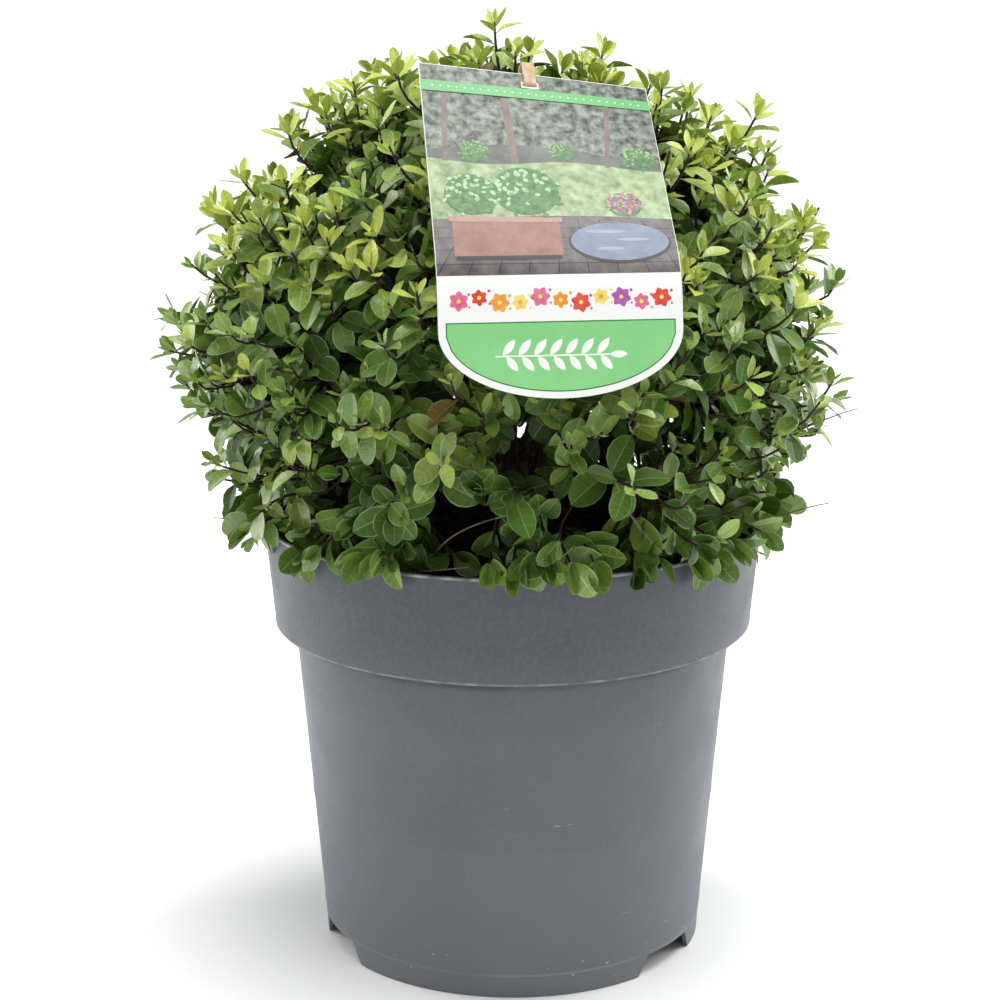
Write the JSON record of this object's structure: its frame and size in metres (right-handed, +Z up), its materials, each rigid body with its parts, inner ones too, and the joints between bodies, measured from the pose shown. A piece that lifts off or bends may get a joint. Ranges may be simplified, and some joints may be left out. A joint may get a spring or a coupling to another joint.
{
  "type": "potted pittosporum shrub",
  "caption": "Dense ball-shaped evergreen shrub on a short stem, in a tapered grey nursery pot filled with potting mix, with a picture label hung on a twig.",
  "frame": {"origin": "on the ground, in the middle of the pot's foot, which is also the middle of the bounding box's underside", "axes": "+Z up along the pot's axis; -Y is the front, where the label hangs; +X to the right seen from the front"},
  "size_m": [0.2686, 0.2567, 0.3573],
  "materials": {
    "grey_pot": "satin moulded plastic",
    "potting_mix": "rough moist bark and peat crumbs",
    "bark": "fine rough bark",
    "foliage": "glossy small leaves",
    "label_sheet": "glossy printed sheet",
    "tie_strap": "matt strap"
  },
  "bodies": {
    "root": {"pot": "grey_pot", "potting_soil": "potting_mix", "trunk": "bark", "bough_top": "bark", "bough_upper_1": "bark", "bough_upper_2": "bark", "bough_upper_3": "bark", "bough_upper_4": "bark", "bough_upper_5": "bark", "bough_lower_1": "bark", "bough_lower_2": "bark", "bough_lower_3": "bark", "bough_lower_4": "bark", "bough_lower_5": "bark", "bough_lower_6": "bark", "foliage_top": "foliage", "foliage_upper_1": "foliage", "foliage_upper_2": "foliage", "foliage_upper_3": "foliage", "foliage_upper_4": "foliage", "foliage_upper_5": "foliage", "foliage_lower_1": "foliage", "foliage_lower_2": "foliage", "foliage_lower_3": "foliage", "foliage_lower_4": "foliage", "foliage_lower_5": "foliage", "foliage_lower_6": "foliage", "label": "label_sheet", "label_tie": "tie_strap"}
  },
  "joints": []
}
